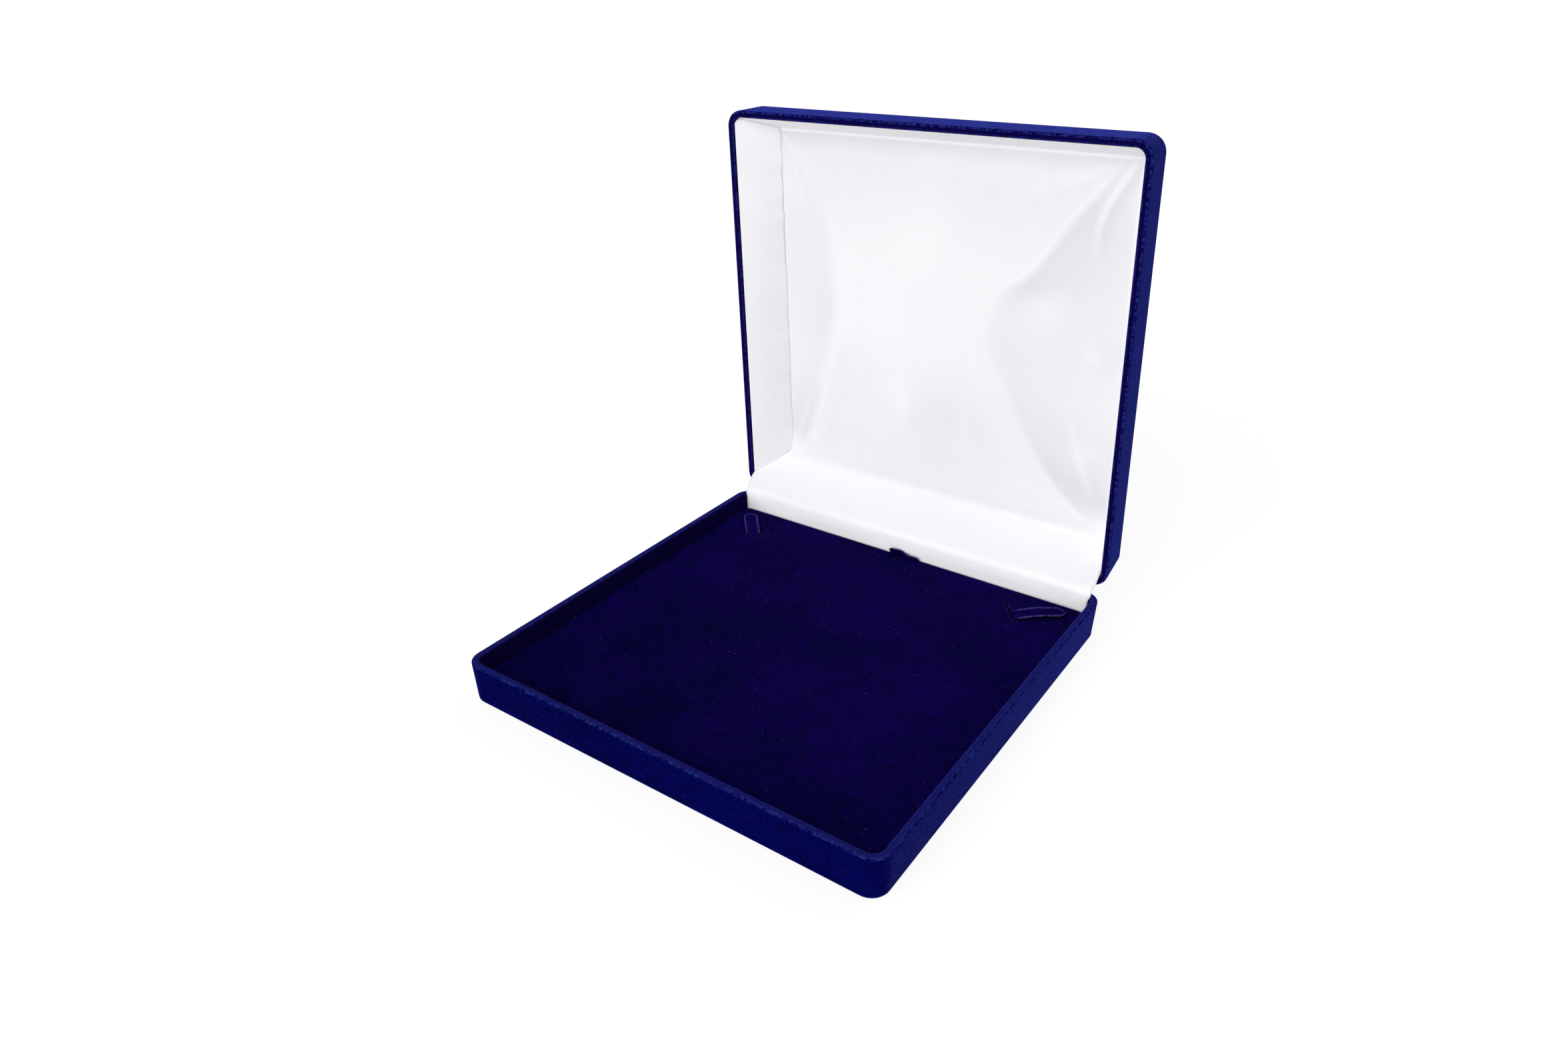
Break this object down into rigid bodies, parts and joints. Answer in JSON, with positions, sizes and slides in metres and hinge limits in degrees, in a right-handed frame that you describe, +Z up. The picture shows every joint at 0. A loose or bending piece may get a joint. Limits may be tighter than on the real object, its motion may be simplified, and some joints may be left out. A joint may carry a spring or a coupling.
{
  "type": "jewelry case",
  "caption": "Square flocked necklace case with a hinged lid, satin lining gathered at its corners and a lift-out velvet pad with chain tabs.",
  "frame": {"origin": "centre of the base's flat underside", "axes": "+X along the hinge to the right seen from the front, +Y to the back where the hinge is, +Z up"},
  "size_m": [0.19, 0.2117, 0.2093],
  "materials": {
    "flocked_shell": "matte",
    "velvet": "matte",
    "ribbon": "matte",
    "foam": "matte",
    "card": "matte",
    "satin": "satin",
    "steel": "satin"
  },
  "bodies": {
    "base": {"base_shell": "flocked_shell", "hinge_base_leaf_left": "steel", "hinge_base_leaf_right": "steel", "hinge_pin_left": "steel", "hinge_pin_right": "steel", "hinge_flap": "satin", "hinge_spring_left": "steel", "hinge_spring_right": "steel"},
    "pad": {"pad_board": "card", "pad_foam": "foam", "pad_velvet": "velvet", "ribbon_pull": "ribbon"},
    "left_tab": {"tab_left": "velvet"},
    "right_tab": {"tab_right": "velvet"},
    "lid": {"lid_shell": "flocked_shell", "panel_card": "card", "panel_wadding": "foam", "panel_satin": "satin", "border_card_left": "card", "border_card_right": "card", "border_card_front": "card", "border_card_hinge": "card", "border_satin_left": "satin", "border_satin_right": "satin", "border_satin_front": "satin", "border_satin_hinge": "satin", "hinge_lid_leaf_left": "steel", "hinge_lid_leaf_right": "steel"}
  },
  "joints": [
    {"name": "lid_hinge", "type": "hinge", "parent": "base", "child": "lid", "pos_m": [0, 0.0972, 0.0172], "axis": [1, 0, 0], "range_deg": [0, 86.5], "deforming": ["hinge_flap", "hinge_spring_left", "hinge_spring_right"]},
    {"name": "pad_lift", "type": "slide", "parent": "base", "child": "pad", "axis": [0, 0, 1], "range_m": [0, 0.004]},
    {"name": "left_tab_lift", "type": "hinge", "parent": "pad", "child": "left_tab", "pos_m": [-0.0685, 0.065, 0.0113], "axis": [0.766, 0.6428, 0], "range_deg": [0, 30]},
    {"name": "right_tab_lift", "type": "hinge", "parent": "pad", "child": "right_tab", "pos_m": [0.066, 0.069, 0.0113], "axis": [0.6361, -0.7716, 0], "range_deg": [0, 30]}
  ]
}
